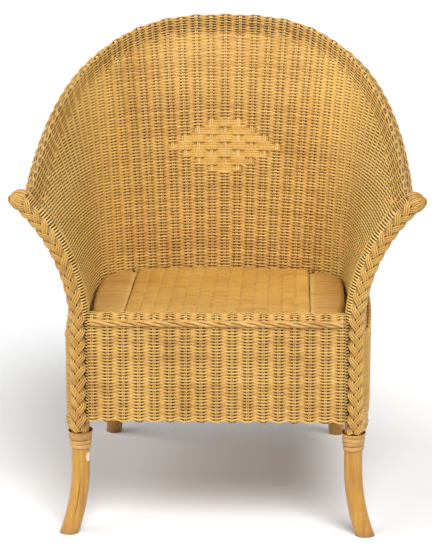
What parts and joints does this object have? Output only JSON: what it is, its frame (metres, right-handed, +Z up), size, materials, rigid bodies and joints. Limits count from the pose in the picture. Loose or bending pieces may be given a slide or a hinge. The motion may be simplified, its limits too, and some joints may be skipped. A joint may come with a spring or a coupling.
{
  "type": "woven rattan tub armchair",
  "caption": "Tub armchair of woven reed on a bent rattan pole frame, with a flared back, a woven apron and skirt, braided arms and a diamond in the back.",
  "frame": {"origin": "middle of the chair's bounding box in plan, at floor level", "axes": "+Z up, +X to the right as seen from the front, +Y to the back of the chair"},
  "size_m": [0.7048, 0.628, 0.8324],
  "materials": {
    "pole": "smooth peeled rattan pole, satin varnish, worn feet",
    "reed_weave": "round rattan reed in plain weave, satin",
    "reed_stake": "paired round rattan reeds, satin",
    "flat_strip": "flat rattan strips, satin",
    "border": "round rattan reed, turned and twisted, satin",
    "braid": "flat cane in a herringbone braid, glossy skin side out",
    "cane_binding": "pale flat cane, wound tight",
    "seat_weave": "close woven fine reed, rubbed smooth"
  },
  "bodies": {
    "root": {"front_leg_left": "pole", "front_leg_right": "pole", "rear_leg_left": "pole", "rear_leg_right": "pole", "seat_rail_front": "pole", "seat_hoop": "pole", "seat_frame_hoop": "pole", "seat_bearer_left": "pole", "seat_bearer_right": "pole", "skirt_rail_front": "pole", "skirt_rail_left": "pole", "skirt_rail_right": "pole", "skirt_rail_back": "pole", "top_hoop": "pole", "tub_weave": "reed_weave", "skirt_weave": "reed_weave", "apron_weave": "reed_weave", "tub_stakes": "reed_stake", "skirt_stakes": "reed_stake", "apron_stakes": "reed_stake", "diamond_strips": "flat_strip", "rim_border": "border", "ledge_border": "border", "rope_border": "border", "arm_braid_left": "braid", "arm_braid_right": "braid", "leg_binding_left": "cane_binding", "leg_binding_right": "cane_binding", "seat_mat": "seat_weave", "seat_side_left": "seat_weave", "seat_side_right": "seat_weave"}
  },
  "joints": []
}
